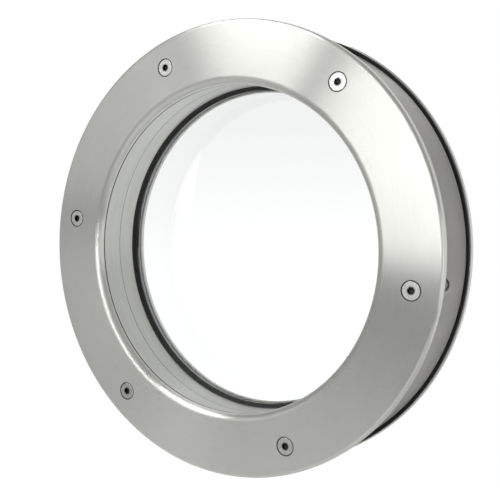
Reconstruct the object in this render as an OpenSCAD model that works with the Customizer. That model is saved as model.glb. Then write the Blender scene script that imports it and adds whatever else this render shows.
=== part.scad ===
// Round porthole window for a door leaf: two pressed flanges clamp the leaf between
// rubber seals, and a short tubular collar between them holds the glass pane.
// Millimetres. Z is up, the axis runs along Y and the screwed front faces -Y.
// The origin is on the axis, half way between the two flange faces.
// Every section below is drawn with its axis along Z and its front up, then turned.

/* [Door leaf] */
// Thickness of the door leaf that the window clamps
leaf_t = 40; // [30:0.5:60]

/* [Flanges] */
// Clear opening inside the rounded inner lip
opening_d = 217; // [150:1:400]
// Width of the flange ring, from the clear opening to the rim
ring_w = 41.5; // [34:0.5:70]
// Depth of the pressed flange, from its face to its rim
flange_h = 5.6; // [4.8:0.1:9]
// Thickness of the flange sheet
sheet_t = 1.2; // [0.8:0.1:1.5]
// Outer radius of the rounded edge at the rim
rim_round = 2.2; // [1.8:0.1:4]
// Outer radius of the rounded edge at the opening
lip_round = 5.3; // [3:0.1:6]
// Straight part of the inner lip, from its rounded edge to its cut edge
lip_straight = 0.8; // [0.2:0.1:3]

/* [Collars] */
// Step from the clear opening out to the inner wall of the collars
collar_step = 3.6; // [2:0.1:6]
// Wall of the collar tubes
collar_t = 1.2; // [0.8:0.1:2]
// Height of the seam between front collar and glass retainer above the middle plane
seam_offset = 1.2; // [-4:0.1:8]
// Stretch of the retainer that the rear collar reaches round
housing_overlap = 5.3; // [2:0.1:9]
// Free play between the retainer's foot and the rear collar
retainer_play = 0.1; // [0.05:0.05:0.5]

/* [Glazing] */
// Thickness of the glass pane
glass_t = 4; // [3:0.5:8]
// Part of the pane that lies outside the collar's inner wall
pane_cover = 3.5; // [2.5:0.1:6]
// Thickness of the bedding tape behind the pane
tape_t = 0.9; // [0.5:0.1:2]
// Width of the bedding tape, inwards from the pane's rim
tape_w = 5.4; // [3:0.1:7]
// Height of the gasket on the pane's front
gasket_h = 3.3; // [2:0.1:5]
// Reach of the gasket's sloping lip inside the collar wall
gasket_lip = 2.4; // [1:0.1:3.4]
// Thickness of the gasket's skirt round the pane's rim
gasket_skirt = 0.8; // [0.5:0.1:2]

/* [Door seals] */
// Height of the seal bead above the flange rim
seal_proud = 2; // [1:0.1:4]
// Width of the seal bead
bead_w = 2; // [1.6:0.1:4]
// Part of the bead that lies on the rim's cut edge
bead_on_rim = 0.4; // [0.1:0.1:0.8]
// Radius of the bead's two corners
bead_round = 0.5; // [0.2:0.05:0.7]
// Width of the seal's foot inside the flange
seal_foot_w = 2.2; // [1.6:0.1:5]

/* [Screws and sleeve nuts] */
// Number of screws
screw_count = 6; // [3:1:12]
// Angle of the first screw from +X, seen from the front
first_screw_angle = 51; // [0:1:119]
// Distance from the rim to the screw circle
screw_inset = 17.8; // [13:0.1:20]
// Diameter of the countersunk heads
head_d = 11.3; // [10:0.1:14]
// Gap round a head at the flange face
head_gap = 0.25; // [0.05:0.05:0.6]
// Height of the cylindrical edge round a head
head_edge = 0.15; // [0.05:0.05:0.25]
// Diameter of the screw thread
screw_d = 6; // [5:0.5:6.5]
// Clearance round the screw in the front flange
screw_clearance = 0.3; // [0.1:0.05:0.5]
// Wall of the sleeve nut's barrel outside the thread
sleeve_wall = 1; // [0.6:0.1:1.5]
// Clearance round the barrel in the rear flange
sleeve_clearance = 0.1; // [0.05:0.05:0.4]
// Distance from the leaf's front to the sleeve nut's open end
sleeve_gap = 12.5; // [8:0.5:20]
// Length of thread in engagement
thread_engagement = 10; // [6:0.5:16]
// Depth of thread in the sleeve nut beyond the screw's tip
thread_spare = 4; // [1:0.5:6]
// Width across the flats of the hexagon sockets
socket_af = 4; // [3:0.5:4]
// Depth of the hexagon sockets
socket_depth = 2.2; // [1.5:0.1:2.6]
// Chamfer at the thread ends
thread_chamfer = 0.7; // [0.3:0.1:1]

/* [Hidden] */
$fn = 120;

// Heights above the middle plane, where the front is up
rim_z = leaf_t / 2 + seal_proud;
face_z = rim_z + flange_h;
underside_z = face_z - sheet_t;
lip_end_z = face_z - lip_round - lip_straight;
seam_z = seam_offset;

// Flange radii
opening_r = opening_d / 2;
outer_r = opening_r + ring_w;
rim_bend_r = outer_r - rim_round;
lip_bend_r = opening_r + lip_round;

// Glazing stack, counted up from the seat that is level with the rear lip's cut edge
seat_z = -lip_end_z;
glass_back_z = seat_z + tape_t;
glass_front_z = glass_back_z + glass_t;
gasket_top_z = glass_front_z + gasket_h;
collar_r = opening_r + collar_step;
glass_r = collar_r + pane_cover;
tape_r = glass_r - tape_w;
housing_r = glass_r + gasket_skirt;
housing_front_z = gasket_top_z + housing_overlap;

// Door seal radii
rim_inner_r = outer_r - sheet_t;
bead_outer_r = rim_inner_r + bead_on_rim;
bead_inner_r = bead_outer_r - bead_w;
foot_inner_r = rim_inner_r - seal_foot_w;

// Fasteners: the 90 degree head cone lies on the countersink's own cone
screw_circle_r = outer_r - screw_inset;
head_r = head_d / 2;
countersink_r = head_r + head_gap;
screw_r = screw_d / 2;
sleeve_r = screw_r + sleeve_wall;
screw_hole_r = screw_r + screw_clearance;
sleeve_hole_r = sleeve_r + sleeve_clearance;
head_cone_z = face_z - head_gap;
head_top_z = head_cone_z + head_edge;
sleeve_end_z = leaf_t / 2 - sleeve_gap;
screw_tip_z = sleeve_end_z - thread_engagement;
thread_end_z = screw_tip_z - thread_spare;
socket_r = socket_af / 2 / cos(30);
through = 1;

// Turn of each screw's hexagon socket, as tightened by hand
socket_turns = [12, 41, 25, 3, 52, 33];

screw_names = [for (i = [1 : screw_count]) str("screw_", i)];
sleeve_names = [for (i = [1 : screw_count]) str("sleeve_nut_", i)];

// ---- Placing ----

// From drawn with its axis along Z and its front up, to its axis along Y and its front at -Y
module facing_front() {
    rotate([90, 0, 0]) children();
}

// The same, turned over so that what was drawn as front is the rear
module facing_rear() {
    facing_front() mirror([0, 0, 1]) children();
}

// Place number i on the screw circle
module on_screw_circle(i) {
    rotate([0, 0, first_screw_angle + (i - 1) * 360 / screw_count])
        translate([screw_circle_r, 0, 0])
            children();
}

// ---- Sections, as radius against height ----

// Quarter of a flat ring, towards sx and sy from its centre
module quarter_ring(centre, r_in, r_out, sx, sy) {
    reach = 2 * r_out;
    translate(centre)
        intersection() {
            difference() {
                circle(r_out);
                circle(r_in);
            }
            translate([sx < 0 ? -reach : 0, sy < 0 ? -reach : 0]) square(reach);
        }
}

// Pressed sheet ring: flat web, rounded rim and rounded inner lip, all one thickness
module flange_section() {
    rim_bend_z = face_z - rim_round;
    lip_bend_z = face_z - lip_round;
    translate([lip_bend_r, underside_z]) square([rim_bend_r - lip_bend_r, sheet_t]);
    quarter_ring([rim_bend_r, rim_bend_z], rim_round - sheet_t, rim_round, 1, 1);
    translate([rim_inner_r, rim_z]) square([sheet_t, rim_bend_z - rim_z]);
    quarter_ring([lip_bend_r, lip_bend_z], lip_round - sheet_t, lip_round, -1, 1);
    translate([opening_r, lip_end_z]) square([sheet_t, lip_bend_z - lip_end_z]);
}

// Bead with two rounded corners, standing on the rim and on the foot beside it
module bead_section() {
    top_z = rim_z - seal_proud;
    difference() {
        translate([bead_inner_r, top_z]) square([bead_w, seal_proud]);
        translate([bead_inner_r, top_z]) square(bead_round);
        translate([bead_outer_r - bead_round, top_z]) square(bead_round);
    }
    for (r = [bead_inner_r + bead_round, bead_outer_r - bead_round])
        translate([r, top_z + bead_round]) circle(bead_round);
}

// Foot that fills the corner behind the rim, cut to the sheet's own inner curve
module foot_section() {
    corner_r = rim_round - sheet_t;
    corner_z = face_z - rim_round;
    translate([foot_inner_r, rim_z]) square([seal_foot_w, corner_z - rim_z]);
    translate([foot_inner_r, corner_z]) square([seal_foot_w - corner_r, corner_r]);
    intersection() {
        translate([rim_bend_r, corner_z]) circle(corner_r);
        translate([rim_bend_r, corner_z]) square(corner_r);
    }
}

// ---- Sub-parts ----

// Countersunk dimple: the sheet pressed down into a cone round the hole
module dimple_metal(hole_r) {
    depth = countersink_r - hole_r;
    wall = sheet_t * sqrt(2);
    height = depth - sheet_t / 2;
    translate([0, 0, face_z - depth])
        cylinder(h = height, r1 = hole_r + wall, r2 = hole_r + wall + height);
}

module dimple_cut(hole_r) {
    depth = countersink_r - hole_r;
    translate([0, 0, face_z - depth])
        cylinder(h = depth + through, r1 = hole_r, r2 = countersink_r + through);
    translate([0, 0, face_z - depth - through])
        cylinder(h = 2 * through, r = hole_r);
}

module flange(hole_r) {
    difference() {
        union() {
            rotate_extrude() flange_section();
            for (i = [1 : screw_count]) on_screw_circle(i) dimple_metal(hole_r);
        }
        for (i = [1 : screw_count]) on_screw_circle(i) dimple_cut(hole_r);
    }
}

module front_flange() {
    color("silver") facing_front() flange(screw_hole_r);
}

module rear_flange() {
    color("silver") facing_front() mirror([0, 0, 1]) flange(sleeve_hole_r);
}

// Tube welded under the front flange; its end is cut to the underside's curve
module front_collar() {
    color("darkgray") facing_front() rotate_extrude()
        difference() {
            translate([collar_r, seam_z]) square([collar_t, underside_z - seam_z]);
            difference() {
                translate([opening_r, face_z - lip_round]) square(lip_round);
                translate([lip_bend_r, face_z - lip_round]) circle(lip_round - sheet_t);
            }
        }
}

// Tube welded under the rear flange, with an inner shoulder that the pane lies on
module rear_collar() {
    color("darkgray") facing_front() rotate_extrude()
        union() {
            translate([housing_r, -underside_z])
                square([collar_t, housing_front_z + underside_z]);
            translate([tape_r, seat_z - collar_t])
                square([housing_r + collar_t - tape_r, collar_t]);
        }
}

// Loose ring that the front collar pushes onto the gasket, with a foot turned outwards
module glass_retainer() {
    color("gray") facing_front() rotate_extrude()
        union() {
            translate([collar_r, gasket_top_z]) square([collar_t, seam_z - gasket_top_z]);
            translate([collar_r, gasket_top_z])
                square([housing_r - retainer_play - collar_r, collar_t]);
        }
}

// Rubber ring on the pane's front, sloping in to the glass, with a skirt round the rim
module glazing_gasket() {
    color([0.12, 0.12, 0.12]) facing_front() rotate_extrude()
        polygon([
            [collar_r, gasket_top_z],
            [collar_r - gasket_lip, glass_front_z],
            [glass_r, glass_front_z],
            [glass_r, seat_z],
            [housing_r, seat_z],
            [housing_r, gasket_top_z],
        ]);
}

// Pale foam tape between the pane's back and the shoulder
module bedding_tape() {
    color("gainsboro") facing_front() translate([0, 0, seat_z])
        difference() {
            cylinder(h = tape_t, r = glass_r);
            translate([0, 0, -through]) cylinder(h = tape_t + 2 * through, r = tape_r);
        }
}

module glass_pane() {
    color([0.85, 0.93, 0.92, 0.35]) facing_front()
        translate([0, 0, glass_back_z]) cylinder(h = glass_t, r = glass_r);
}

// Rubber ring in the flange's rim, with a bead that presses on the leaf
module door_seal() {
    rotate_extrude()
        union() {
            foot_section();
            bead_section();
        }
}

module front_door_seal() {
    color([0.06, 0.06, 0.06]) facing_front() door_seal();
}

module rear_door_seal() {
    color([0.06, 0.06, 0.06]) facing_rear() door_seal();
}

// Countersunk head on a round shank down to tip_z, turned as one profile
module countersunk_body(shank_r, tip_z) {
    rotate_extrude()
        polygon([
            [0, tip_z],
            [shank_r - thread_chamfer, tip_z],
            [shank_r, tip_z + thread_chamfer],
            [shank_r, head_cone_z - (head_r - shank_r)],
            [head_r, head_cone_z],
            [head_r, head_top_z],
            [0, head_top_z],
        ]);
}

// Hexagon socket with the drill's cone at its bottom
module hexagon_socket(turn) {
    cone_h = socket_af / 2 * tan(30);
    translate([0, 0, head_top_z - socket_depth])
        rotate([0, 0, turn]) cylinder(h = socket_depth + through, r = socket_r, $fn = 6);
    translate([0, 0, head_top_z - socket_depth - cone_h])
        cylinder(h = cone_h, r1 = 0, r2 = socket_af / 2);
}

module screw(i) {
    turn = socket_turns[(i - 1) % len(socket_turns)];
    color("lightgray") facing_front() on_screw_circle(i)
        difference() {
            countersunk_body(screw_r, screw_tip_z);
            hexagon_socket(turn);
        }
}

// Barrel with a countersunk head at the rear, threaded from its open front end
module sleeve_nut(i) {
    turn = -socket_turns[(i - 1) % len(socket_turns)];
    thread_depth = sleeve_end_z - thread_end_z;
    color("lightgray") facing_rear() on_screw_circle(i)
        difference() {
            countersunk_body(sleeve_r, -sleeve_end_z);
            hexagon_socket(turn);
            translate([0, 0, -sleeve_end_z - through])
                cylinder(h = thread_depth + through, r = screw_r);
        }
}

front_flange();
rear_flange();
front_collar();
rear_collar();
glass_retainer();
glazing_gasket();
bedding_tape();
glass_pane();
front_door_seal();
rear_door_seal();
for (i = [1 : screw_count]) screw(i);
for (i = [1 : screw_count]) sleeve_nut(i);
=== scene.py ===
"""Looks of a round porthole window for a door leaf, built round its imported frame."""

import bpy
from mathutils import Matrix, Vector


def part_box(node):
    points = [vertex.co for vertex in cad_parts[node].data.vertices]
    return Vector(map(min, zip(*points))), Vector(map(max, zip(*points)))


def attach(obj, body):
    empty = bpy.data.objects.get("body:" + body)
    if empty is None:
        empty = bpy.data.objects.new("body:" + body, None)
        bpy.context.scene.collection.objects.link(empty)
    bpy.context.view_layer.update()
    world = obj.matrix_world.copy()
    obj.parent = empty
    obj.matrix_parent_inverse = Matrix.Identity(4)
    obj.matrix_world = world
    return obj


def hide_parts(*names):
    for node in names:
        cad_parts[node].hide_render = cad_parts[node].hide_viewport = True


bl_info = {
    "name": "Porthole window",
    "version": (1, 0, 0),
    "blender": (4, 5, 0),
    "location": "3D View > Sidebar > Porthole",
    "description": "Pressed flanges, collars, glass, seals and fasteners of a round porthole window",
    "category": "Object",
}

import math

import bmesh
import bpy
from mathutils import Vector

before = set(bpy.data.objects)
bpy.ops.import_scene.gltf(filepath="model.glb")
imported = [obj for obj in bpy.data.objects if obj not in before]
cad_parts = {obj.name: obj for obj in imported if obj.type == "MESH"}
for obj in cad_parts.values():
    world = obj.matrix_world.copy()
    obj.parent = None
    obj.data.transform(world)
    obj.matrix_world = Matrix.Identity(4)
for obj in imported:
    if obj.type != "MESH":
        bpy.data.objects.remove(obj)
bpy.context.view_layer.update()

MM = 0.001
RING_STEPS = 256
SMALL_STEPS = 64
MERGE = 1e-6
FRONT = -1
REAR = 1
SCREW_NODES = sorted(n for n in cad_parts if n.startswith("screw_"))
SLEEVE_NODES = sorted(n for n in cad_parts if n.startswith("sleeve_nut_"))


# ---- Measures that the frame gives ----


def outer_radius(node):
    """Outer radius of a ring about the window's axis."""
    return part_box(node)[1].x


def ends(node):
    """Foremost and rearmost place of a node along the axis."""
    low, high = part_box(node)
    return low.y, high.y


def middle(node):
    """Place of a fastener's own axis, as x and z."""
    low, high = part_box(node)
    return (low.x + high.x) / 2, (low.z + high.z) / 2


def half_width(node):
    low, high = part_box(node)
    return (high.x - low.x) / 2


# ---- Sizes, colours and stage settings ----


def length(name, description, default, **limits):
    """A length property in metres, shown in the scene's own unit."""
    return bpy.props.FloatProperty(
        name=name, description=description, default=default, min=0.0, unit="LENGTH", precision=4, **limits
    )


def angle(name, description, degrees):
    return bpy.props.FloatProperty(
        name=name, description=description, default=math.radians(degrees), unit="ROTATION", subtype="ANGLE"
    )


def amount(name, description, default, top=1.0):
    return bpy.props.FloatProperty(
        name=name, description=description, default=default, min=0.0, max=top, subtype="FACTOR"
    )


def colour(name, description, default):
    return bpy.props.FloatVectorProperty(
        name=name, description=description, default=default, size=4, min=0.0, max=1.0, subtype="COLOR"
    )


class FlangeSizes(bpy.types.PropertyGroup):
    ring_width: length("Ring width", "From the clear opening to the rim", 41.5 * MM)
    sheet: length("Sheet", "Thickness of the pressed sheet", 1.2 * MM)
    rim_round: length("Rim round", "Outer radius of the bend at the rim", 2.2 * MM)
    lip_round: length("Lip round", "Outer radius of the bend at the opening", 5.3 * MM)
    cut_edge: length("Cut edge", "Rounding of the sheet's cut edges", 0.25 * MM)
    dimple_mouth: length("Dimple mouth", "Radius of a countersunk dimple at the face", 5.9 * MM)
    dimple_round: length("Dimple round", "Rounding of a dimple's mouth", 0.8 * MM)
    screw_hole: length("Screw hole", "Radius of the holes in the front flange", 3.3 * MM)
    sleeve_hole: length("Sleeve hole", "Radius of the holes in the rear flange", 4.1 * MM)


class GlazingSizes(bpy.types.PropertyGroup):
    collar_wall: length("Collar wall", "Thickness of the collar tubes", 1.2 * MM)
    seam_edge: length("Seam edge", "Rounding of the tube ends at the seam", 0.3 * MM)
    shoulder_width: length("Shoulder width", "Reach of the rear collar's shoulder", 7.4 * MM)
    gasket_lip: length("Gasket lip", "Reach of the gasket's lip inside the tube", 2.4 * MM)
    gasket_groove: length("Gasket groove", "Depth of the groove along the gasket's slope", 0.35 * MM)
    tape_width: length("Tape width", "Width of the bedding tape", 5.4 * MM)
    glass_edge: length("Glass edge", "Ground chamfer of the pane's rim", 0.5 * MM)


class SealSizes(bpy.types.PropertyGroup):
    proud: length("Proud", "Height of the bead above the rim", 2.0 * MM)
    bead_width: length("Bead width", "Width of the bead", 1.6 * MM)
    on_rim: length("On the rim", "Part of the bead that lies on the rim", 0.4 * MM)
    foot_width: length("Foot width", "Width of the foot inside the flange", 2.2 * MM)
    bead_round: length("Bead round", "Radius of the bead's two corners", 0.5 * MM)


class FastenerSizes(bpy.types.PropertyGroup):
    thread: length("Thread", "Outer radius of the thread", 3.0 * MM)
    pitch: length("Pitch", "Rise of one turn of the thread", 1.0 * MM)
    thread_depth: length("Thread depth", "From crest to root", 0.6 * MM)
    thread_spare: length("Thread spare", "Bore in the sleeve beyond the screw's tip", 4.0 * MM)
    head_edge: length("Head edge", "Height of the edge round a head", 0.15 * MM)
    socket_width: length("Socket width", "Width across the flats of the sockets", 4.0 * MM)
    socket_depth: length("Socket depth", "Depth of the sockets", 2.2 * MM)
    tip_chamfer: length("Tip chamfer", "Chamfer at the thread's ends", 0.7 * MM)


class FinishColours(bpy.types.PropertyGroup):
    steel: colour("Brushed steel", "Sheet of the flanges", (0.66, 0.665, 0.632, 1.0))
    inner: colour("Mill finish", "Inner side of the flanges", (0.95, 0.935, 0.92, 1.0))
    collar: colour("Turned steel", "Tubes of the collars", (0.52, 0.524, 0.498, 1.0))
    shade: colour("Shade", "Sockets, gaps at heads, lip and tube ends", (0.03, 0.028, 0.026, 1.0))
    screw: colour("Screw steel", "Tumbled screws and sleeve nuts", (0.78, 0.775, 0.76, 1.0))
    gasket: colour("Gasket rubber", "Rubber on the pane's front", (0.022, 0.022, 0.023, 1.0))
    seal: colour("Seal rubber", "Rubber of the door seals", (0.006, 0.006, 0.006, 1.0))
    tape: colour("Foam tape", "Tape behind the pane", (0.9, 0.91, 0.9, 1.0))
    glass: colour("Glass", "Tint of the pane", (0.985, 1.0, 0.993, 1.0))
    floor: colour("Floor", "Studio floor", (0.93, 0.93, 0.93, 1.0))
    steel_roughness: amount("Steel roughness", "Roughness of the brushed sheet", 0.3)
    inner_metallic: amount("Mill metallic", "How metallic the flanges' inner side is", 0.1)
    inner_roughness: amount("Mill roughness", "Roughness of the flanges' inner side", 0.5)


class StageSettings(bpy.types.PropertyGroup):
    azimuth: angle("Azimuth", "Camera's turn to the right of the front", 32.38)
    elevation: angle("Elevation", "Camera's height above the level", 2.30)
    distance: length("Distance", "From the front face to the camera", 0.547)
    pan: length("Pan", "Sideways move of camera and aim together", 0.0176)
    lens: bpy.props.FloatProperty(name="Lens", description="Focal length", default=59.85, unit="CAMERA")
    floor_drop: length("Floor drop", "From the window's axis down to the floor", 0.42)
    floor_radius: length("Floor radius", "Radius of the floor panel", 0.9)
    floor_glow: amount("Floor glow", "Own brightness where the floor is seen", 0.6)
    light_distance: length("Light distance", "From the window to the softboxes", 1.0)
    room: amount("Room", "Brightness of the room in reflections", 0.4, 3.0)
    backdrop: amount("Backdrop", "Brightness of the white backdrop in reflections", 1.0, 3.0)


# ---- Modelling steps ----


def clear_selection():
    """Leaves edit mode with nothing selected."""
    if bpy.context.mode != "OBJECT":
        bpy.ops.object.mode_set(mode="OBJECT")
    bpy.ops.object.select_all(action="DESELECT")


def pick_only(*objects):
    """Selects these objects, the first one active."""
    clear_selection()
    for obj in objects:
        obj.select_set(True)
    bpy.context.view_layer.objects.active = objects[0]


def start_primitive(name, add, **settings):
    """A primitive added alone, named and active."""
    clear_selection()
    add(**settings)
    obj = bpy.context.object
    obj.name = name
    obj.data.name = name
    return obj


def apply_modifier(obj, kind, **settings):
    pick_only(obj)
    bpy.ops.object.modifier_add(type=kind)
    modifier = obj.modifiers[-1]
    for key, value in settings.items():
        setattr(modifier, key, value)
    bpy.ops.object.modifier_apply(modifier=modifier.name)


def apply_place(obj):
    pick_only(obj)
    bpy.ops.object.transform_apply(location=True, rotation=True, scale=True)


def remove(obj):
    pick_only(obj)
    bpy.ops.object.delete()


def combine(body, tool, operation):
    """Cuts a body with a tool, or down to it, and takes the tool away."""
    apply_modifier(body, "BOOLEAN", operation=operation, object=tool, solver="EXACT")
    remove(tool)


def edit(obj):
    pick_only(obj)
    bpy.ops.object.mode_set(mode="EDIT")


def leave_outward():
    """Turns all normals outward and leaves edit mode."""
    bpy.ops.mesh.select_all(action="SELECT")
    bpy.ops.mesh.normals_make_consistent(inside=False)
    bpy.ops.object.mode_set(mode="OBJECT")


def select_where(obj, kind, test):
    """In edit mode, selects only the vertices, edges or faces that pass the test."""
    bpy.ops.mesh.select_mode(type=kind)
    bpy.ops.mesh.select_all(action="DESELECT")
    mesh = bmesh.from_edit_mesh(obj.data)
    items = {"VERT": mesh.verts, "EDGE": mesh.edges, "FACE": mesh.faces}[kind]
    found = 0
    for item in items:
        if test(item):
            item.select = True
            found += 1
    mesh.select_flush_mode()
    bmesh.update_edit_mesh(obj.data)
    return found


def turn_at(before, corner, after):
    """Angle by which an outline turns at a corner."""
    a = Vector(corner[:2]) - Vector(before[:2])
    b = Vector(after[:2]) - Vector(corner[:2])
    return a.angle(b)


def segments_for(radius):
    """Segments that keep a rounded corner smooth at its size."""
    return 3 if radius < 0.4 * MM else 6 if radius < 1.5 * MM else 12


def draw_outline(name, outline, closed):
    """Draws corners (radius, y, rounding) as an edge path beside the Y axis and rounds them."""
    obj = start_primitive(name, bpy.ops.mesh.primitive_plane_add, size=MM)
    bpy.ops.object.mode_set(mode="EDIT")
    bpy.ops.mesh.select_mode(type="VERT")
    bpy.ops.mesh.select_all(action="SELECT")
    bpy.ops.mesh.merge(type="CENTER")
    places = [Vector((r, y, 0.0)) for r, y, _ in outline]
    bpy.ops.transform.translate(value=places[0])
    steps = places[1:] + places[:1] if closed else places[1:]
    here = places[0]
    for there in steps:
        bpy.ops.mesh.extrude_region_move(TRANSFORM_OT_translate={"value": there - here})
        here = there
    bpy.ops.mesh.select_all(action="SELECT")
    bpy.ops.mesh.remove_doubles(threshold=MERGE)
    count = len(outline)
    for i, (r, y, rounding) in enumerate(outline):
        if rounding <= 0.0:
            continue
        turn = turn_at(outline[i - 1], outline[i], outline[(i + 1) % count])
        place = places[i]
        select_where(obj, "VERT", lambda v: (v.co - place).length < MERGE * 10)
        bpy.ops.mesh.bevel(
            affect="VERTICES",
            offset=rounding * math.tan(turn / 2),
            segments=segments_for(rounding),
            clamp_overlap=False,
        )
    return obj


def spin_outline(obj, steps):
    """Spins the drawn outline once round the Y axis into a closed skin that faces outwards."""
    bpy.ops.mesh.select_all(action="SELECT")
    bpy.ops.mesh.spin(steps=steps, angle=math.tau, center=(0, 0, 0), axis=(0, 1, 0))
    bpy.ops.mesh.select_all(action="SELECT")
    bpy.ops.mesh.remove_doubles(threshold=MERGE)
    bpy.ops.mesh.normals_make_consistent(inside=False)
    bpy.ops.object.mode_set(mode="OBJECT")
    return obj


def turned(name, outline, steps=RING_STEPS, closed=True):
    return spin_outline(draw_outline(name, outline, closed), steps)


def shade(obj, sharp_degrees=40):
    """Smooth shading that keeps flat faces flat and sharp edges sharp."""
    pick_only(obj)
    bpy.ops.object.shade_smooth_by_angle(angle=math.radians(sharp_degrees))
    apply_modifier(obj, "WEIGHTED_NORMAL", keep_sharp=True, weight=100)


def finish_piece(obj, node, material):
    """Gives a piece its finish and lets it stand for its CAD node."""
    obj.data.materials.clear()
    obj.data.materials.append(material)
    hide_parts(node)
    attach(obj, "root")


# ---- Flanges ----


def flange_outline(sizes, side, rim):
    """Section of the pressed ring: face, rounded rim, underside and rounded inner lip."""
    outer = outer_radius("front_flange")
    inner = outer - sizes.ring_width
    face = side * abs(ends("front_flange")[0])
    lip_end = side * abs(ends("front_flange")[1])
    under = face - side * sizes.sheet
    t = sizes.sheet
    return [
        (inner, lip_end, sizes.cut_edge),
        (inner, face, sizes.lip_round),
        (outer, face, sizes.rim_round),
        (outer, rim, sizes.cut_edge),
        (outer - t, rim, sizes.cut_edge),
        (outer - t, under, sizes.rim_round - t),
        (inner + t, under, sizes.lip_round - t),
        (inner + t, lip_end, sizes.cut_edge),
    ]


DIMPLE_CUT = 8.4 * MM
DIMPLE_EDGE = 8.0 * MM


def dimple_outline(sizes, side, hole):
    """Section of one countersunk dimple, from the face down the cone and back underneath."""
    face = side * abs(ends("front_flange")[0])
    under = face - side * sizes.sheet
    bottom = face - side * (sizes.dimple_mouth - hole)
    slant_wall = sizes.sheet * math.sqrt(2)
    under_mouth = sizes.dimple_mouth + slant_wall - sizes.sheet
    return [
        (DIMPLE_EDGE, face, 0.0),
        (sizes.dimple_mouth, face, sizes.dimple_round),
        (hole, bottom, 0.12 * MM),
        (hole + slant_wall, bottom, 0.3 * MM),
        (under_mouth, under, 0.5 * MM),
        (DIMPLE_EDGE, under, 0.0),
    ]


def away(point, x, z):
    """Distance of a point from an axis that runs along Y through x and z."""
    return math.hypot(point.x - x, point.z - z)


def open_web(flange, places, face):
    """Cuts the round openings that the dimples are set in and takes their walls away."""
    for x, z in places:
        cutter = start_primitive(
            "dimple_cutter", bpy.ops.mesh.primitive_cylinder_add,
            vertices=SMALL_STEPS, radius=DIMPLE_CUT, depth=4 * DIMPLE_CUT,
            location=(x, face, z), rotation=(math.pi / 2, 0, 0),
        )
        combine(flange, cutter, "DIFFERENCE")
    edit(flange)
    slack = 0.05 * MM
    select_where(flange, "FACE", lambda f: abs(f.normal.y) < 0.1 and any(
        all(abs(away(v.co, x, z) - DIMPLE_CUT) < slack for v in f.verts) for x, z in places
    ))
    bpy.ops.mesh.delete(type="FACE")
    bpy.ops.object.mode_set(mode="OBJECT")


def set_dimple(flange, cup, x, z):
    """Joins one dimple to the web with a flat ring on both sides of the sheet."""
    pick_only(cup)
    bpy.ops.object.duplicate()
    copy = bpy.context.object
    copy.location = (x, 0, z)
    apply_place(copy)
    pick_only(flange, copy)
    bpy.ops.object.join()
    bpy.ops.object.mode_set(mode="EDIT")
    levels = sorted({round(v.co.y / (0.1 * MM)) for v in bmesh.from_edit_mesh(flange.data).verts
                     if v.is_boundary and away(v.co, x, z) < DIMPLE_CUT * 1.01})
    for level in levels:
        select_where(flange, "EDGE", lambda e: e.is_boundary and all(
            away(v.co, x, z) < DIMPLE_CUT * 1.01 and round(v.co.y / (0.1 * MM)) == level for v in e.verts
        ))
        bpy.ops.mesh.bridge_edge_loops()
    bpy.ops.object.mode_set(mode="OBJECT")


def make_flange(name, side, hole, settings):
    sizes = settings.flange
    seal = side * min(abs(y) for y in ends("front_door_seal"))
    rim = seal + side * settings.seal.proud
    flange = turned(name, flange_outline(sizes, side, rim))
    places = [middle(node) for node in SCREW_NODES]
    open_web(flange, places, side * abs(ends("front_flange")[0]))
    cup = draw_outline("dimple_cup", dimple_outline(sizes, side, hole), closed=False)
    spin_outline(cup, SMALL_STEPS)
    for x, z in places:
        set_dimple(flange, cup, x, z)
    remove(cup)
    edit(flange)
    leave_outward()
    shade(flange)
    return flange


# ---- Rings of the glazing ----

WELD = 0.9 * MM


def make_front_collar(sizes, flange):
    """Tube under the front flange, its end following the lip's own curve, with a weld fillet."""
    outer = outer_radius("front_collar")
    inner = outer - sizes.collar_wall
    face = ends("front_flange")[0]
    seam = ends("front_collar")[1]
    bend_r = outer_radius("front_flange") - flange.ring_width + flange.lip_round
    bend_y = face + flange.lip_round
    radius = flange.lip_round - flange.sheet
    inner_end = bend_y - math.sqrt(radius ** 2 - (bend_r - inner) ** 2)
    outer_end = bend_y - math.sqrt(radius ** 2 - (bend_r - outer) ** 2)
    collar = turned("front_collar_tube", [
        (inner, seam, sizes.seam_edge),
        (inner, inner_end, 0.0),
        (outer, outer_end, 0.0),
        (outer + WELD, outer_end, 0.2 * MM),
        (outer, outer_end + WELD, 0.5 * MM),
        (outer, seam, sizes.seam_edge),
    ])
    shade(collar)
    return collar


def make_retainer(sizes):
    front, rear = ends("glass_retainer")
    foot = outer_radius("glass_retainer")
    outer = outer_radius("front_collar")
    inner = outer - sizes.collar_wall
    edge = sizes.seam_edge
    ring = turned("glass_retainer_ring", [
        (inner, front, edge),
        (inner, rear, edge),
        (foot, rear, edge),
        (foot, rear - sizes.collar_wall, edge),
        (outer, rear - sizes.collar_wall, edge),
        (outer, front, edge),
    ])
    shade(ring)
    return ring


def make_rear_collar(sizes):
    front, rear = ends("rear_collar")
    outer = outer_radius("rear_collar")
    inner = outer - sizes.collar_wall
    shoulder = outer - sizes.shoulder_width
    seat = ends("bedding_tape")[1]
    edge = sizes.seam_edge
    ring = turned("rear_collar_tube", [
        (outer, front, edge),
        (inner, front, edge),
        (inner, seat, 0.0),
        (shoulder, seat, edge),
        (shoulder, seat + sizes.collar_wall, edge),
        (inner, seat + sizes.collar_wall, 0.3 * MM),
        (inner, rear, 0.0),
        (outer + WELD, rear, 0.2 * MM),
        (outer, rear - WELD, 0.5 * MM),
    ])
    shade(ring)
    return ring


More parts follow.
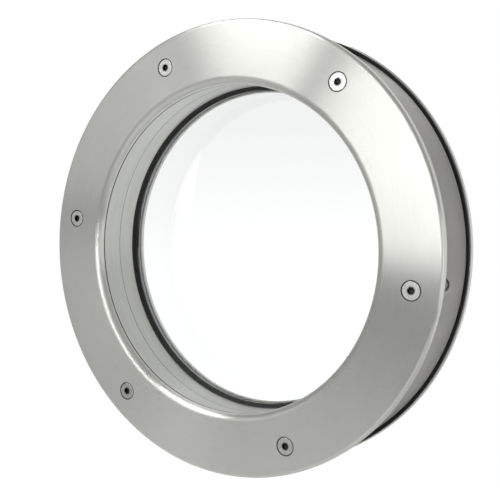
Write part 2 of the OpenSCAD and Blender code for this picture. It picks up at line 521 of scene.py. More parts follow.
def make_gasket(sizes):
    """Rubber ring on the pane, with a shallow groove along its slope and a skirt round the rim."""
    top, seat = ends("glazing_gasket")
    pane_front = ends("glass_pane")[0]
    pane_r = outer_radius("glass_pane")
    outer = outer_radius("glazing_gasket")
    tube = outer_radius("front_collar") - sizes.collar_wall
    tip = tube - sizes.gasket_lip
    tip_height = 0.5 * MM
    drop = pane_front - tip_height - top
    groove = sizes.gasket_groove

    def on_slope(share, depth):
        return (tube - sizes.gasket_lip * share + depth, top + drop * share + depth, 0.15 * MM)

    ring = turned("glazing_gasket_ring", [
        (tube, top, 0.0),
        on_slope(0.30, 0.0),
        on_slope(0.42, groove),
        on_slope(0.58, groove),
        on_slope(0.70, 0.0),
        (tip, pane_front - tip_height, 0.2 * MM),
        (tip, pane_front, 0.1 * MM),
        (pane_r, pane_front, 0.0),
        (pane_r, seat, 0.1 * MM),
        (outer, seat, 0.1 * MM),
        (outer, top, 0.1 * MM),
    ])
    shade(ring, 50)
    return ring


def make_tape(sizes):
    front, rear = ends("bedding_tape")
    outer = outer_radius("bedding_tape")
    inner = outer - sizes.tape_width
    middle_y = (front + rear) / 2
    bulge = 0.12 * MM
    ring = turned("bedding_tape_ring", [
        (inner, rear, 0.0),
        (inner - bulge, middle_y, 0.3 * MM),
        (inner, front, 0.0),
        (outer, front, 0.0),
        (outer, rear, 0.0),
    ])
    shade(ring)
    return ring


def make_pane(sizes):
    """Glass disc with a ground chamfer round both faces of its rim."""
    front, rear = ends("glass_pane")
    pane = start_primitive(
        "glass_pane_disc", bpy.ops.mesh.primitive_cylinder_add,
        vertices=RING_STEPS, radius=outer_radius("glass_pane"), depth=rear - front,
        location=(0, (front + rear) / 2, 0), rotation=(math.pi / 2, 0, 0),
    )
    apply_place(pane)
    edit(pane)
    select_where(pane, "EDGE", lambda e: abs(e.verts[0].co.y - e.verts[1].co.y) < MERGE)
    bpy.ops.mesh.bevel(offset=sizes.glass_edge, segments=1)
    select_where(pane, "FACE", lambda f: len(f.verts) > 4)
    bpy.ops.mesh.inset(thickness=3 * MM)
    bpy.ops.object.mode_set(mode="OBJECT")
    shade(pane, 30)
    return pane


def make_door_seal(name, node, side, settings):
    """Rubber ring in the rim: a bead that presses on the leaf, on a foot that fills the corner."""
    sizes = settings.seal
    flange = settings.flange
    leaf = side * min(abs(y) for y in ends(node))
    rim = leaf + side * sizes.proud
    rim_inner = outer_radius("front_flange") - flange.sheet
    under = side * (abs(ends("front_flange")[0]) - flange.sheet)
    bead_out = rim_inner + sizes.on_rim
    bead_in = bead_out - sizes.bead_width
    ring = turned(name, [
        (bead_in, leaf, sizes.bead_round),
        (bead_out, leaf, sizes.bead_round),
        (bead_out, rim, 0.0),
        (rim_inner, rim, 0.0),
        (rim_inner, under, flange.rim_round - flange.sheet),
        (rim_inner - sizes.foot_width, under, 0.2 * MM),
        (rim_inner - sizes.foot_width, rim, 0.2 * MM),
        (bead_in, rim, 0.1 * MM),
    ])
    shade(ring, 50)
    return ring


# ---- Screws and sleeve nuts ----


def cut_socket(body, sizes, top, side):
    """Cuts the hexagon socket with its drill cone and breaks the socket's mouth edges."""
    corner = sizes.socket_width / 2 / math.cos(math.radians(30))
    depth = sizes.socket_depth
    above = 1 * MM
    cutter = start_primitive(
        "socket_cutter", bpy.ops.mesh.primitive_cylinder_add,
        vertices=6, radius=corner, depth=depth + above,
        location=(0, top - side * (depth - above) / 2, 0), rotation=(math.pi / 2, 0, 0),
    )
    apply_place(cutter)
    combine(body, cutter, "DIFFERENCE")
    edit(body)
    floor_y = top - side * depth
    select_where(body, "FACE", lambda f: all(abs(v.co.y - floor_y) < MERGE * 10 for v in f.verts)
                 and f.calc_center_median().xz.length < corner)
    bpy.ops.mesh.inset(thickness=corner * 0.1)
    bpy.ops.mesh.extrude_region_move(TRANSFORM_OT_translate={"value": (0, -side * corner * 0.45, 0)})
    bpy.ops.mesh.merge(type="CENTER")
    slack = MERGE * 10
    select_where(body, "EDGE", lambda e: all(
        abs(v.co.y - top) < slack and v.co.xz.length < corner + slack for v in e.verts
    ) and any(len(f.verts) == 4 and abs(f.normal.y) < 0.1 for f in e.link_faces))
    bpy.ops.mesh.bevel(offset=0.16 * MM, segments=2)
    bpy.ops.object.mode_set(mode="OBJECT")


def make_thread(sizes, radius, start, end):
    """Threaded stretch as a solid of its own, cut off square at both ends."""
    run = end - start
    turns = math.ceil(run / sizes.pitch) + 3
    root = radius - sizes.thread_depth
    flat = sizes.pitch * 0.08
    y = start - 1.5 * sizes.pitch
    thread = draw_outline("thread", [
        (root, y, 0.0),
        (root, y + flat, 0.0),
        (radius, y + sizes.pitch / 2 - flat / 2, 0.0),
        (radius, y + sizes.pitch / 2 + flat / 2, 0.0),
        (root, y + sizes.pitch, 0.0),
    ], closed=False)
    bpy.ops.object.mode_set(mode="OBJECT")
    apply_modifier(
        thread, "SCREW", axis="Y", screw_offset=sizes.pitch, iterations=turns, steps=32, render_steps=32,
        use_merge_vertices=True, merge_threshold=MERGE, use_smooth_shade=True,
    )
    edit(thread)
    bpy.ops.mesh.select_all(action="SELECT")
    bpy.ops.mesh.remove_doubles(threshold=MERGE)
    for cut, normal in ((start, -1), (end, 1)):
        bpy.ops.mesh.select_all(action="SELECT")
        bpy.ops.mesh.bisect(
            plane_co=(0, cut, 0), plane_no=(0, normal, 0), threshold=MERGE / 100,
            use_fill=True, clear_outer=True, clear_inner=False,
        )
    leave_outward()
    return thread


def make_screw(settings):
    """One countersunk socket screw on the Y axis, head towards the front."""
    sizes = settings.fastener
    top, tip = ends("screw_1")
    head = half_width("screw_1")
    edge = top + sizes.head_edge
    neck = edge + (head - sizes.thread)
    plain_end = neck + 2 * MM
    root = sizes.thread - sizes.thread_depth
    body = turned("screw_body", [
        (0.0, top, 0.0),
        (head - 0.25 * MM, top, 0.15 * MM),
        (head, edge - 0.02 * MM, 0.15 * MM),
        (sizes.thread, neck, 0.2 * MM),
        (sizes.thread, plain_end - 0.5 * MM, 0.0),
        (root, plain_end, 0.0),
        (0.0, plain_end, 0.0),
    ], SMALL_STEPS, closed=False)
    cut_socket(body, sizes, top, FRONT)
    thread = make_thread(sizes, sizes.thread, plain_end - 0.45 * MM, tip)
    limit = turned("thread_limit", [
        (0.0, plain_end - 0.6 * MM, 0.0),
        (sizes.thread + 0.1 * MM, plain_end - 0.6 * MM, 0.0),
        (sizes.thread + 0.1 * MM, tip - sizes.tip_chamfer, 0.0),
        (sizes.thread - sizes.tip_chamfer, tip + 0.1 * MM, 0.0),
        (0.0, tip + 0.1 * MM, 0.0),
    ], SMALL_STEPS, closed=False)
    combine(thread, limit, "INTERSECT")
    pick_only(body, thread)
    bpy.ops.object.join()
    shade(body, 35)
    return body


def make_sleeve(settings):
    """One sleeve nut on the Y axis: a countersunk head at the rear on a barrel with a blind bore."""
    sizes = settings.fastener
    mouth, top = ends("sleeve_nut_1")
    head = half_width("sleeve_nut_1")
    edge = top - sizes.head_edge
    barrel = sizes.thread + 1 * MM
    neck = edge - (head - barrel)
    bore_end = ends("screw_1")[1] + sizes.thread_spare
    body = turned("sleeve_body", [
        (0.0, top, 0.0),
        (head - 0.25 * MM, top, 0.15 * MM),
        (head, edge + 0.02 * MM, 0.15 * MM),
        (barrel, neck, 0.2 * MM),
        (barrel, mouth, 0.4 * MM),
        (sizes.thread, mouth, 0.3 * MM),
        (sizes.thread, bore_end, 0.0),
        (0.0, bore_end + 1.2 * MM, 0.0),
    ], SMALL_STEPS, closed=False)
    cut_socket(body, sizes, top, REAR)
    shade(body, 35)
    return body


def place_copies(original, nodes, turns, material):
    """Sets a copy with its own mesh at each node's place, each tightened to its own angle."""
    for i, node in enumerate(nodes):
        pick_only(original)
        bpy.ops.object.duplicate()
        piece = bpy.context.object
        piece.name = piece.data.name = f"{node}_piece"
        piece.rotation_euler = (0, turns[i % len(turns)], 0)
        x, z = middle(node)
        piece.location = (x, 0, z)
        apply_place(piece)
        finish_piece(piece, node, material)
    remove(original)


# ---- Finishes ----


class Nodes:
    """A node tree with short ways to add and link what a finish or a group needs."""

    def __init__(self, tree):
        self.tree = tree

    def add(self, kind, **settings):
        node = self.tree.nodes.new(kind)
        for key, value in settings.items():
            setattr(node, key, value)
        return node

    def link(self, output, node, name):
        self.tree.links.new(output, node.inputs[name])

    def feed(self, node, name, value):
        """Sets an input to a number or links it to an output."""
        if isinstance(value, bpy.types.NodeSocket):
            self.link(value, node, name)
        else:
            node.inputs[name].default_value = value

    def maths(self, operation, first, second=0.0, clamp=False):
        node = self.add("ShaderNodeMath", operation=operation, use_clamp=clamp)
        self.feed(node, 0, first)
        self.feed(node, 1, second)
        return node.outputs[0]

    def remap(self, value, low, high, to_low, to_high):
        node = self.add("ShaderNodeMapRange")
        for name, number in (
            ("Value", value), ("From Min", low), ("From Max", high), ("To Min", to_low), ("To Max", to_high)
        ):
            self.feed(node, name, number)
        return node.outputs[0]

    def blend(self, factor, first, second):
        node = self.add("ShaderNodeMix", data_type="RGBA")
        self.feed(node, "Factor", factor)
        self.feed(node, "A", first)
        self.feed(node, "B", second)
        return node.outputs["Result"]

    def noise(self, vector, scale, detail=2.0, roughness=0.5):
        node = self.add("ShaderNodeTexNoise")
        self.feed(node, "Vector", vector)
        self.feed(node, "Scale", scale)
        self.feed(node, "Detail", detail)
        self.feed(node, "Roughness", roughness)
        return node.outputs["Fac"]

    def diagonal(self, first, second):
        """Square root of the sum of two squares."""
        squares = (self.maths("MULTIPLY", first, first), self.maths("MULTIPLY", second, second))
        return self.maths("SQRT", self.maths("ADD", *squares))

    def coordinate(self, name):
        return self.add("ShaderNodeTexCoord").outputs[name]

    def parts(self, name="Object"):
        """The X, Y and Z outputs of a texture coordinate."""
        node = self.add("ShaderNodeSeparateXYZ")
        self.link(self.coordinate(name), node, 0)
        return node.outputs

    def seen_rays(self):
        """One for camera rays and rays through glass, then one for rays through glass alone."""
        path = self.add("ShaderNodeLightPath")
        through = path.outputs["Is Transmission Ray"]
        return self.maths("MAXIMUM", path.outputs["Is Camera Ray"], through), through


def new_group(name, inputs, outputs):
    """A shader node group with float inputs (name, default) and float outputs."""
    tree = bpy.data.node_groups.new(name, "ShaderNodeTree")
    for label, default in inputs:
        socket = tree.interface.new_socket(label, in_out="INPUT", socket_type="NodeSocketFloat")
        socket.default_value = default
    for label in outputs:
        tree.interface.new_socket(label, in_out="OUTPUT", socket_type="NodeSocketFloat")
    kit = Nodes(tree)
    return kit, kit.add("NodeGroupInput"), kit.add("NodeGroupOutput")


def brushing_group():
    """Fine lines that run round the window's axis on faces, rims and tube walls alike."""
    kit, given, out = new_group(
        "Round brushing", [("Line width", 0.25 * MM), ("Line length", 14.0)], ["Lines", "Bands", "Patches"]
    )
    x, y, z = kit.parts()
    radius = kit.diagonal(x, z)
    across = kit.maths("DIVIDE", kit.maths("ADD", radius, y), given.outputs["Line width"])
    coarse = kit.maths("MULTIPLY", across, 0.13)
    arcs = [kit.maths("MULTIPLY", kit.maths("DIVIDE", side, radius), given.outputs["Line length"])
            for side in (x, z)]

    def lines(first, spread):
        vector = kit.add("ShaderNodeCombineXYZ")
        kit.feed(vector, 0, first)
        kit.feed(vector, 1, kit.maths("MULTIPLY", arcs[0], spread))
        kit.feed(vector, 2, kit.maths("MULTIPLY", arcs[1], spread))
        return vector.outputs[0]

    kit.feed(out, "Lines", kit.noise(lines(across, 1.0), 1.0, 3.0, 0.7))
    kit.feed(out, "Bands", kit.noise(lines(coarse, 0.5), 1.0, 2.0, 0.6))
    kit.feed(out, "Patches", kit.noise(kit.coordinate("Object"), 22.0, 3.0, 0.55))
    return kit.tree


def speckle_group():
    """Small pits and grains all over a surface, over a slow cloudiness."""
    kit, given, out = new_group("Speckle", [("Grain", 0.5 * MM)], ["Grains", "Pits", "Clouds"])
    place = kit.coordinate("Object")
    scale = kit.maths("DIVIDE", 1.0, given.outputs["Grain"])
    kit.feed(out, "Grains", kit.noise(place, scale, 3.0, 0.65))
    cells = kit.add("ShaderNodeTexVoronoi")
    kit.feed(cells, "Vector", place)
    kit.feed(cells, "Scale", scale)
    kit.feed(out, "Pits", kit.remap(cells.outputs["Distance"], 0.05, 0.45, 1.0, 0.0))
    kit.feed(out, "Clouds", kit.noise(place, kit.maths("MULTIPLY", scale, 0.08), 2.0, 0.5))
    return kit.tree


def screw_place_group():
    """Distance from the nearest of the six screw axes, and depth below the heads' tops."""
    kit, given, out = new_group(
        "Screw place", [("Circle", 0.1), ("First", 0.0), ("Top", 0.0)], ["Distance", "Depth"]
    )
    x, y, z = kit.parts()
    radius = kit.diagonal(x, z)
    turn = kit.maths("SUBTRACT", kit.maths("ARCTAN2", z, x), given.outputs["First"])
    step = math.radians(60)
    nearest = kit.maths("MULTIPLY", kit.maths("ROUND", kit.maths("DIVIDE", turn, step)), step)
    turn = kit.maths("SUBTRACT", turn, nearest)
    out_by = kit.maths("SUBTRACT", kit.maths("MULTIPLY", radius, kit.maths("COSINE", turn)),
                       given.outputs["Circle"])
    along = kit.maths("MULTIPLY", radius, kit.maths("SINE", turn))
    kit.feed(out, "Distance", kit.diagonal(out_by, along))
    kit.feed(out, "Depth", kit.maths("SUBTRACT", given.outputs["Top"], kit.maths("ABSOLUTE", y)))
    return kit.tree


def shared_group(name, make):
    """The group of that name, made the first time it is asked for."""
    return bpy.data.node_groups.get(name) or make()


def new_finish(name, metallic):
    material = bpy.data.materials.new(name)
    material.use_nodes = True
    kit = Nodes(material.node_tree)
    shader = material.node_tree.nodes["Principled BSDF"]
    shader.inputs["Metallic"].default_value = metallic
    return material, kit, shader


def add_brushing(kit, line_width, line_length):
    group = kit.add("ShaderNodeGroup", node_tree=shared_group("Round brushing", brushing_group))
    group.inputs["Line width"].default_value = line_width
    group.inputs["Line length"].default_value = line_length
    return group.outputs


def add_speckle(kit, grain):
    group = kit.add("ShaderNodeGroup", node_tree=shared_group("Speckle", speckle_group))
    group.inputs["Grain"].default_value = grain
    return group.outputs


def add_screw_place(kit):
    group = kit.add("ShaderNodeGroup", node_tree=shared_group("Screw place", screw_place_group))
    x, z = middle("screw_1")
    group.inputs["Circle"].default_value = math.hypot(x, z)
    group.inputs["First"].default_value = math.atan2(z, x)
    group.inputs["Top"].default_value = abs(ends("screw_1")[0])
    return group.outputs


def add_bump(kit, shader, height, distance, strength=1.0):
    bump = kit.add("ShaderNodeBump")
    bump.inputs["Distance"].default_value = distance
    bump.inputs["Strength"].default_value = strength
    kit.feed(bump, "Height", height)
    kit.link(bump.outputs["Normal"], shader, "Normal")


def darker(base, share):
    """The colour times a share; above one it is lighter."""
    return tuple(c * share for c in base[:3]) + (1.0,)


def round_the_axis(kit, shader, anisotropic):
    """Stretches reflections across lines that run round the Y axis."""
    shader.inputs["Anisotropic"].default_value = anisotropic
    shader.inputs["Anisotropic Rotation"].default_value = 0.25
    tangent = kit.add("ShaderNodeTangent", direction_type="RADIAL", axis="Y")
    kit.link(tangent.outputs[0], shader, "Tangent")


# Where the flanges' painted shade ends: full shade and no shade, outward from a head's edge and
# forward from the lip's cut edge, and how far past the sheet the lip's shade reaches
HEAD_SHADE = (0.45 * MM, 0.75 * MM)
LIP_SHADE = (0.9 * MM, 1.5 * MM)
LIP_REACH = 0.2 * MM


def inner_side(kit, settings):
    """One on the flanges' inner side, which keeps the duller mill finish, and zero elsewhere."""
    sizes = settings.flange
    x, y, z = kit.parts()
    radius = kit.diagonal(x, z)
    height = kit.maths("ABSOLUTE", y)
    face = abs(ends("front_flange")[0])
    rim = outer_radius("front_flange")

    def within(beyond, bend):
        """One nearer the leaf than the sheet's middle, at a bend of the given outer radius."""
        beyond = kit.maths("MAXIMUM", beyond, 0.0)
        above = kit.maths("MAXIMUM", kit.maths("SUBTRACT", height, face - bend), 0.0)
        return kit.maths("LESS_THAN", kit.diagonal(beyond, above), bend - sizes.sheet / 2)

    at_rim = within(kit.maths("SUBTRACT", radius, rim - sizes.rim_round), sizes.rim_round)
    lip = rim - sizes.ring_width + sizes.lip_round
    return kit.maths("MULTIPLY", at_rim, within(kit.maths("SUBTRACT", lip, radius), sizes.lip_round))


def painted_edge_shade(kit, settings):
    """Painted shade: one in the gap round each head and on the cut edge of the front flange's lip."""
    spot = add_screw_place(kit)
    head = half_width("screw_1")
    cone = kit.maths("ADD", spot["Distance"], kit.maths("MAXIMUM", spot["Depth"], 0.0))
    gap = kit.remap(cone, head + HEAD_SHADE[0], head + HEAD_SHADE[1], 1.0, 0.0)
    x, y, z = kit.parts()
    radius = kit.diagonal(x, z)
    flange = settings.flange
    behind_lip = outer_radius("front_flange") - flange.ring_width + flange.sheet
    end = abs(ends("front_flange")[1])
    near_end = kit.remap(kit.maths("ABSOLUTE", y), end + LIP_SHADE[0], end + LIP_SHADE[1], 1.0, 0.0)
    lip = kit.maths("MULTIPLY", near_end, kit.maths("LESS_THAN", radius, behind_lip + LIP_REACH))
    lip = kit.maths("MULTIPLY", lip, kit.maths("LESS_THAN", y, 0.0))
    return kit.maths("MAXIMUM", gap, lip)


def brushed_steel(settings):
    """Circular brushing: fine lines, broader bands and a little cloudiness from handling."""
    base = settings.colours.steel
    material, kit, shader = new_finish("Brushed flange steel", 1.0)
    marks = add_brushing(kit, 0.25 * MM, 14.0)
    inside = inner_side(kit, settings)
    strokes = kit.maths("ADD", kit.maths("MULTIPLY", marks["Lines"], 0.6),
                        kit.maths("MULTIPLY", marks["Bands"], 0.4))
    face = kit.blend(kit.remap(strokes, 0.3, 0.7, 0.0, 1.0), darker(base, 0.96), darker(base, 1.03))
    tone = kit.blend(inside, face, settings.colours.inner)
    # Painted shade in the gaps round the heads and along the lip's cut edge.
    kit.link(kit.blend(painted_edge_shade(kit, settings), tone, settings.colours.shade), shader, "Base Color")
    rough = kit.maths("ADD", kit.remap(marks["Lines"], 0.3, 0.7, -0.025, 0.025),
                      kit.remap(marks["Patches"], 0.3, 0.7, -0.012, 0.012))
    plain = kit.remap(inside, 0.0, 1.0, settings.colours.steel_roughness, settings.colours.inner_roughness)
    kit.link(kit.maths("ADD", rough, plain, True), shader, "Roughness")
    kit.link(kit.remap(inside, 0.0, 1.0, 1.0, settings.colours.inner_metallic), shader, "Metallic")
    add_bump(kit, shader, marks["Lines"], 0.001 * MM)
    round_the_axis(kit, shader, 0.95)
    return material


def turned_steel(settings):
    """Rolled tube with lines round its wall, darker than the flanges, with painted shade on its ends at the
    seam.
    """
    base = settings.colours.collar
    material, kit, shader = new_finish("Turned collar steel", 1.0)
    marks = add_brushing(kit, 0.4 * MM, 5.0)
    tone = kit.blend(kit.remap(marks["Bands"], 0.3, 0.7, 0.0, 1.0), darker(base, 0.94), darker(base, 1.04))
    # Painted shade on the tube ends that face along the axis, in front of the pane.
    tube_end_shade = kit.remap(kit.maths("ABSOLUTE", kit.parts("Normal")["Y"]), 0.5, 0.7, 0.0, 1.0)
    in_front = kit.maths("LESS_THAN", kit.parts()["Y"], ends("glass_pane")[0])
    tube_end_shade = kit.maths("MULTIPLY", tube_end_shade, in_front)
    kit.link(kit.blend(tube_end_shade, tone, settings.colours.shade), shader, "Base Color")
    kit.link(kit.remap(marks["Lines"], 0.3, 0.7, 0.3, 0.36), shader, "Roughness")
    add_bump(kit, shader, marks["Lines"], 0.001 * MM)
    round_the_axis(kit, shader, 0.6)
    return material


def screw_steel(settings):
    """Tumbled and pickled steel: bright, with dull grains and pits, and painted shade in the sockets and
    round their mouths.
    """
    base = settings.colours.screw
    material, kit, shader = new_finish("Screw steel", 1.0)
    marks = add_speckle(kit, 0.7 * MM)
    tone = kit.blend(kit.remap(marks["Grains"], 0.35, 0.6, 0.0, 1.0), darker(base, 0.5), base)
    spot = add_screw_place(kit)
    sizes = settings.fastener
    corner = sizes.socket_width / 2 / math.cos(math.radians(30)) + 0.02 * MM
    # Painted shade: near black inside the sockets, fading out round their mouths.
    below_mouth = kit.maths("GREATER_THAN", spot["Depth"], 0.08 * MM)
    above_shank = kit.maths("LESS_THAN", spot["Depth"], sizes.socket_depth * 2)
    socket = kit.maths("MULTIPLY", kit.maths("LESS_THAN", spot["Distance"], corner),
                       kit.maths("MULTIPLY", below_mouth, above_shank))
    socket_mouth_shade = kit.remap(spot["Distance"], corner, corner + 0.6 * MM, 0.7, 0.0)
    socket_mouth_shade = kit.maths("MULTIPLY", socket_mouth_shade, kit.maths("LESS_THAN", spot["Depth"], sizes.socket_depth))
    kit.link(kit.blend(kit.maths("MAXIMUM", socket, socket_mouth_shade), tone, settings.colours.shade),
             shader, "Base Color")
    kit.link(kit.remap(marks["Grains"], 0.3, 0.7, 0.42, 0.22), shader, "Roughness")
    add_bump(kit, shader, kit.maths("SUBTRACT", marks["Grains"], kit.maths("MULTIPLY", marks["Pits"], 0.4)),
             0.02 * MM, 0.6)
    return material


def rubber(name, base, grain, low, high):
    """Moulded rubber: fine grain, a faint bloom where the tone is lighter."""
    material, kit, shader = new_finish(name, 0.0)
    marks = add_speckle(kit, grain)
    kit.link(kit.blend(kit.remap(marks["Clouds"], 0.35, 0.7, 0.0, 1.0), base, darker(base, 1.35)),
             shader, "Base Color")
    kit.link(kit.remap(marks["Grains"], 0.3, 0.7, low, high), shader, "Roughness")
    shader.inputs["Specular IOR Level"].default_value = 0.4
    add_bump(kit, shader, marks["Grains"], 0.03 * MM, 0.5)
    return material


def foam_tape(settings):
    base = settings.colours.tape
    material, kit, shader = new_finish("Foam tape", 0.0)
    marks = add_speckle(kit, 0.25 * MM)
    kit.link(kit.blend(marks["Pits"], base, darker(base, 0.7)), shader, "Base Color")
    kit.link(kit.remap(marks["Grains"], 0.3, 0.7, 0.75, 0.9), shader, "Roughness")
    add_bump(kit, shader, marks["Pits"], -0.08 * MM, 0.8)
    return material


def clear_glass(settings):
    """Float glass: clear faces with the faintest smudges and a matt ground chamfer at the rim."""
    material, kit, shader = new_finish("Clear glass", 0.0)
    x, _, z = kit.parts()
    radius = kit.diagonal(x, z)
    rim = outer_radius("glass_pane") - settings.glazing.glass_edge
    ground = kit.maths("GREATER_THAN", radius, rim + 0.02 * MM)
    smudges = kit.remap(kit.noise(kit.coordinate("Object"), 30.0, 4.0, 0.6), 0.55, 0.8, 0.0, 0.012)
    kit.link(kit.maths("ADD", kit.maths("MULTIPLY", ground, 0.55), smudges, True), shader, "Roughness")
    tint = settings.colours.glass
    kit.link(kit.blend(ground, tint, darker(tint, 0.8)), shader, "Base Color")
    shader.inputs["Transmission Weight"].default_value = 1.0
    shader.inputs["IOR"].default_value = 1.5
    return material


# ---- Stage ----

# Azimuth and elevation seen from the window, width, height and roll in degrees, brightness.
# Key strip and Left fill are rounded results of a light fit; report.md keeps that as open.
SOFTBOXES = {
    "Key strip": (-4.2, 6.7, 37, 5.5, -37, 10.4),
    "Upper box": (-30, 42, 26, 20, -5, 6.8),
    "Left fill": (-42, 12.5, 8, 21, -9, 1.4),
    "Side light": (84, -4, 16, 30, 0, 2.2),
}


def direction(azimuth, elevation):
    """Unit vector from the window: azimuth 0 is straight in front, to the right is positive."""
    return Vector((
        math.sin(azimuth) * math.cos(elevation),
        -math.cos(azimuth) * math.cos(elevation),
        math.sin(elevation),
    ))


def aim(obj, target):
    obj.rotation_euler = (target - obj.location).to_track_quat("-Z", "Y").to_euler()


def make_camera(stage):
    side = Vector((math.cos(stage.azimuth), math.sin(stage.azimuth), 0))
    face = Vector((0, (ends("front_flange")[0] + ends("front_door_seal")[0]) / 2, 0))
    target = face + side * stage.pan
    bpy.ops.object.camera_add(location=target + direction(stage.azimuth, stage.elevation) * stage.distance)
    camera = bpy.context.object
    camera.name = "Camera"
    camera.data.lens = stage.lens
    camera.data.sensor_width = 36
    aim(camera, target)
    bpy.context.scene.camera = camera


def add_softbox(name, azimuth, elevation, width, height, roll, brightness, stage):
    """Rectangular light that faces the window, its brightness given as its own radiance."""
    away_from = direction(math.radians(azimuth), math.radians(elevation)) * stage.light_distance
    clear_selection()
    bpy.ops.object.light_add(type="AREA", location=away_from)
    lamp = bpy.context.object
    lamp.name = lamp.data.name = name
    lamp.data.shape = "RECTANGLE"
    lamp.data.size = 2 * stage.light_distance * math.tan(math.radians(width) / 2)
    lamp.data.size_y = 2 * stage.light_distance * math.tan(math.radians(height) / 2)
    lamp.data.energy = brightness * math.pi * lamp.data.size * lamp.data.size_y
    aim(lamp, Vector((0, 0, 0)))
    lamp.rotation_euler.rotate_axis("Z", math.radians(roll))
    lamp.visible_camera = False
    lamp.visible_transmission = False


def make_world(stage):
    """White all round, fading a little upward through glass; reflections see a grey room.

    The room turns into a bright backdrop behind the window.
    """
    world = bpy.data.worlds.new("Studio")
    bpy.context.scene.world = world
    world.use_nodes = True
    kit = Nodes(world.node_tree)
    kit.tree.nodes.clear()
    place = kit.parts("Generated")
    behind = kit.remap(place["Y"], 0.3, 0.7, stage.room, stage.backdrop)
    room = kit.add("ShaderNodeBackground")
    kit.link(behind, room, "Strength")
    seen = kit.add("ShaderNodeBackground")
    direct, through_glass = kit.seen_rays()
    mix = kit.add("ShaderNodeMixShader")
    kit.link(direct, mix, 0)
    for background in (room, seen):
        background.inputs["Color"].default_value = (1, 1, 1, 1)
    kit.link(room.outputs[0], mix, 1)
    kit.link(seen.outputs[0], mix, 2)
    fading_up = kit.remap(place["Z"], -0.06, 0.12, 1.08, 0.92)
    kit.link(kit.blend(through_glass, (1, 1, 1, 1), fading_up), seen, "Color")
    kit.link(mix.outputs[0], kit.add("ShaderNodeOutputWorld"), "Surface")


def make_floor(stage, tint):
    """Round floor panel with a rounded edge; its glow is for the eye and doesn't light the window."""
    floor = start_primitive(
        "floor", bpy.ops.mesh.primitive_circle_add, vertices=128, radius=stage.floor_radius, fill_type="NGON",
        location=(0, 0, -stage.floor_drop),
    )
    thickness = 20 * MM
    bpy.ops.object.mode_set(mode="EDIT")
    bpy.ops.mesh.select_all(action="SELECT")
    bpy.ops.mesh.extrude_region_move(TRANSFORM_OT_translate={"value": (0, 0, -thickness)})
    select_where(floor, "EDGE", lambda e: all(abs(v.co.z) < MERGE for v in e.verts))
    bpy.ops.mesh.bevel(offset=thickness / 2, segments=6)
    leave_outward()
    apply_place(floor)
    shade(floor)
    material, kit, shader = new_finish("Studio floor", 0.0)
    grain = add_speckle(kit, 4 * MM)
    kit.link(kit.blend(grain["Grains"], darker(tint, 0.98), tint), shader, "Base Color")
    shader.inputs["Roughness"].default_value = 0.8
    shader.inputs["Emission Color"].default_value = tint
    seen, _ = kit.seen_rays()
    kit.link(kit.maths("MULTIPLY", seen, stage.floor_glow), shader, "Emission Strength")
    floor.data.materials.append(material)


class PortholeSettings(bpy.types.PropertyGroup):
    flange: bpy.props.PointerProperty(type=FlangeSizes)
    glazing: bpy.props.PointerProperty(type=GlazingSizes)
    seal: bpy.props.PointerProperty(type=SealSizes)
    fastener: bpy.props.PointerProperty(type=FastenerSizes)
    colours: bpy.props.PointerProperty(type=FinishColours)
    stage: bpy.props.PointerProperty(type=StageSettings)


class PORTHOLE_OT_stage(bpy.types.Operator):
    """Set up the camera, the studio light and the floor"""

    bl_idname = "porthole.stage"
    bl_label = "Stage"

    def execute(self, context):
        stage = context.scene.porthole.stage
        clear_selection()
        make_camera(stage)
        make_world(stage)
        for name, values in SOFTBOXES.items():
            add_softbox(name, *values, stage)
        make_floor(stage, context.scene.porthole.colours.floor)
        context.scene.view_settings.view_transform = "Standard"
        return {"FINISHED"}


class PORTHOLE_OT_flanges(bpy.types.Operator):
    """Model the two pressed flanges with their dimples"""

    bl_idname = "porthole.flanges"
    bl_label = "Flanges"

    def execute(self, context):
        settings = context.scene.porthole
        steel = brushed_steel(settings)
        front = make_flange("front_flange_ring", FRONT, settings.flange.screw_hole, settings)
        finish_piece(front, "front_flange", steel)
        rear = make_flange("rear_flange_ring", REAR, settings.flange.sleeve_hole, settings)
        finish_piece(rear, "rear_flange", steel)
        return {"FINISHED"}


class PORTHOLE_OT_collars(bpy.types.Operator):
    """Turn the front collar, the glass retainer and the rear collar"""

    bl_idname = "porthole.collars"
    bl_label = "Collars and retainer"

    def execute(self, context):
        settings = context.scene.porthole
        steel = turned_steel(settings)
        sizes = settings.glazing
        finish_piece(make_front_collar(sizes, settings.flange), "front_collar", steel)
        finish_piece(make_retainer(sizes), "glass_retainer", steel)
        finish_piece(make_rear_collar(sizes), "rear_collar", steel)
        return {"FINISHED"}


class PORTHOLE_OT_glazing(bpy.types.Operator):
    """Model the pane, its gasket and the bedding tape"""

    bl_idname = "porthole.glazing"
    bl_label = "Pane, gasket and tape"

    def execute(self, context):
        settings = context.scene.porthole
        sizes = settings.glazing
        colours = settings.colours
        finish_piece(make_gasket(sizes), "glazing_gasket",
                     rubber("Gasket rubber", colours.gasket, 0.4 * MM, 0.42, 0.56))
        finish_piece(make_tape(sizes), "bedding_tape", foam_tape(settings))
        finish_piece(make_pane(sizes), "glass_pane", clear_glass(settings))
        return {"FINISHED"}


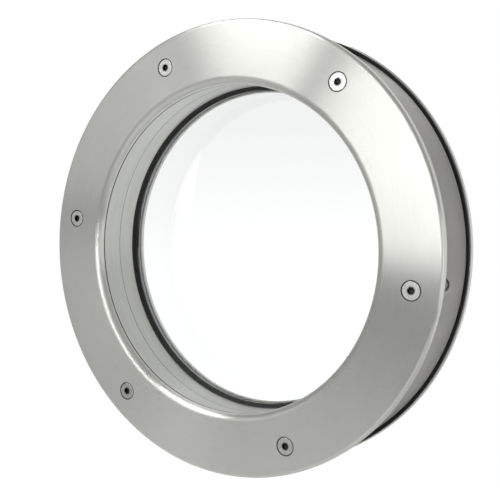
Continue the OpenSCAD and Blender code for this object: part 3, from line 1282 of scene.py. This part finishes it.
class PORTHOLE_OT_seals(bpy.types.Operator):
    """Model the two door seals"""

    bl_idname = "porthole.seals"
    bl_label = "Door seals"

    def execute(self, context):
        settings = context.scene.porthole
        black = rubber("Seal rubber", settings.colours.seal, 0.5 * MM, 0.55, 0.75)
        finish_piece(make_door_seal("front_seal_ring", "front_door_seal", FRONT, settings),
                     "front_door_seal", black)
        finish_piece(make_door_seal("rear_seal_ring", "rear_door_seal", REAR, settings),
                     "rear_door_seal", black)
        return {"FINISHED"}


class PORTHOLE_OT_fasteners(bpy.types.Operator):
    """Model a screw and a sleeve nut and set a copy at each place"""

    bl_idname = "porthole.fasteners"
    bl_label = "Screws and sleeve nuts"

    def execute(self, context):
        settings = context.scene.porthole
        steel = screw_steel(settings)
        turns = [math.radians(a) for a in (12, 41, 25, 3, 52, 33)]
        place_copies(make_screw(settings), SCREW_NODES, turns, steel)
        place_copies(make_sleeve(settings), SLEEVE_NODES, turns, steel)
        return {"FINISHED"}


class PORTHOLE_PT_panel(bpy.types.Panel):
    """Lists the steps that build the window"""

    bl_idname = "PORTHOLE_PT_panel"
    bl_label = "Porthole window"
    bl_space_type = "VIEW_3D"
    bl_region_type = "UI"
    bl_category = "Porthole"

    def draw(self, context):
        for step in STEPS:
            self.layout.operator(step.bl_idname)


STEPS = (
    PORTHOLE_OT_stage,
    PORTHOLE_OT_flanges,
    PORTHOLE_OT_collars,
    PORTHOLE_OT_glazing,
    PORTHOLE_OT_seals,
    PORTHOLE_OT_fasteners,
)
GROUPS = (
    FlangeSizes, GlazingSizes, SealSizes, FastenerSizes, FinishColours, StageSettings, PortholeSettings,
)


def register():
    for cls in GROUPS + STEPS + (PORTHOLE_PT_panel,):
        bpy.utils.register_class(cls)
    bpy.types.Scene.porthole = bpy.props.PointerProperty(type=PortholeSettings)


def unregister():
    del bpy.types.Scene.porthole
    for cls in reversed(GROUPS + STEPS + (PORTHOLE_PT_panel,)):
        bpy.utils.unregister_class(cls)


def main():
    register()
    bpy.ops.porthole.stage()
    bpy.ops.porthole.flanges()
    bpy.ops.porthole.collars()
    bpy.ops.porthole.glazing()
    bpy.ops.porthole.seals()
    bpy.ops.porthole.fasteners()


if __name__ == "__main__":
    main()
